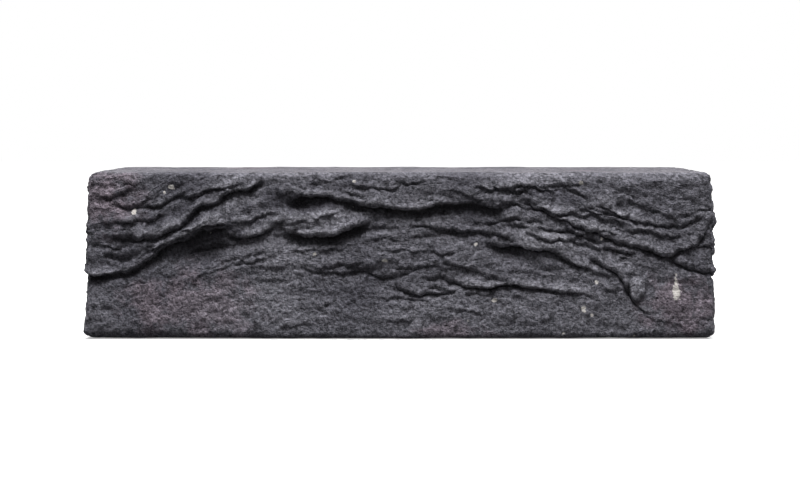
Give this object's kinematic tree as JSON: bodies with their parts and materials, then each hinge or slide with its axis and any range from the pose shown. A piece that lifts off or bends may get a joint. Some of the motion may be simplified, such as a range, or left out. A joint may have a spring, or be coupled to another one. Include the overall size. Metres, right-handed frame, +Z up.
{
  "type": "facing brick",
  "caption": "Hand-moulded fired-clay facing brick in a slim module format, anthracite, with folded and creased sides, worn arrises and flat beds.",
  "frame": {"origin": "middle of the bottom bed, the brick's wider face, on which it lies", "axes": "+X along the length of a stretcher, -Y out of the creased front stretcher face, +Z up out of the top bed"},
  "size_m": [0.1899, 0.0898, 0.05],
  "materials": {
    "fired_clay": "matte"
  },
  "bodies": {
    "root": {"brick": "fired_clay"}
  },
  "joints": []
}
